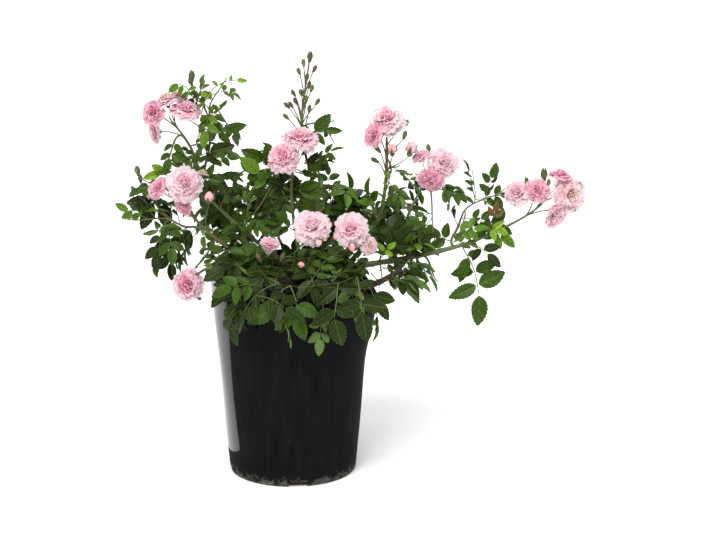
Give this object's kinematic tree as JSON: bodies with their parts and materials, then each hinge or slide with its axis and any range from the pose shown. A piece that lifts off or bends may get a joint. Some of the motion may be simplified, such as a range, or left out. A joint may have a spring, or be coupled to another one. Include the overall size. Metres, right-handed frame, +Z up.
{
  "type": "potted shrub rose",
  "caption": "Bushy cluster-flowered shrub rose with pink double blooms, leafy arching canes and hanging leaves, growing in a plain black nursery pot with a soft rim.",
  "frame": {"origin": "centre of the flat underside of the pot, where it stands on the ground", "axes": "+Z up; the view that shows the long flowering cane reaching to the right looks along +Y, so that cane reaches towards +X"},
  "size_m": [0.4928, 0.2475, 0.4469],
  "materials": {
    "pot_plastic": "satin black recycled polythene, moulded thin",
    "potting_mix": "rough, damp, peat and bark",
    "old_wood": "rough brown bark",
    "green_cane": "smooth green bark with small prickles",
    "foliage": "semi-glossy leaves",
    "petals": "soft matt petals"
  },
  "bodies": {
    "root": {"pot": "pot_plastic", "potting_mix": "potting_mix", "stem_base": "old_wood", "old_stub": "old_wood", "upper_left_cane": "green_cane", "top_left_cane": "green_cane", "left_cane": "green_cane", "far_left_cane": "green_cane", "low_left_cane": "green_cane", "centre_cane": "green_cane", "spire_cane": "green_cane", "right_centre_cane": "green_cane", "right_arch_inner": "green_cane", "right_arch_outer": "green_cane", "right_cane": "green_cane", "right_upper_cane": "green_cane", "front_left_cane": "green_cane", "front_right_cane": "green_cane", "back_left_cane": "green_cane", "back_right_cane": "green_cane", "upper_left_flowers": "petals", "left_flowers": "petals", "low_left_flower": "petals", "centre_flowers": "petals", "bud_spire": "petals", "front_left_flower": "petals", "front_right_flowers": "petals", "right_centre_flowers": "petals", "right_flowers": "petals", "far_right_flowers": "petals", "back_flowers": "petals", "top_left_leaves": "foliage", "upper_left_leaves": "foliage", "left_shoulder_leaves": "foliage", "left_leaves": "foliage", "left_low_leaves": "foliage", "left_inner_leaves": "foliage", "left_middle_leaves": "foliage", "centre_left_leaves": "foliage", "centre_shoulder_leaves": "foliage", "centre_top_leaves": "foliage", "centre_back_leaves": "foliage", "front_left_leaves": "foliage", "front_right_leaves": "foliage", "front_left_skirt": "foliage", "front_middle_skirt": "foliage", "front_right_skirt": "foliage", "right_inner_leaves": "foliage", "right_centre_leaves": "foliage", "right_low_leaves": "foliage", "right_upper_leaves": "foliage", "right_outer_leaves": "foliage", "right_hanging_leaves": "foliage", "back_left_leaves": "foliage", "back_centre_leaves": "foliage", "back_right_leaves": "foliage", "back_corner_leaves": "foliage", "back_left_skirt": "foliage", "back_right_skirt": "foliage"}
  },
  "joints": []
}
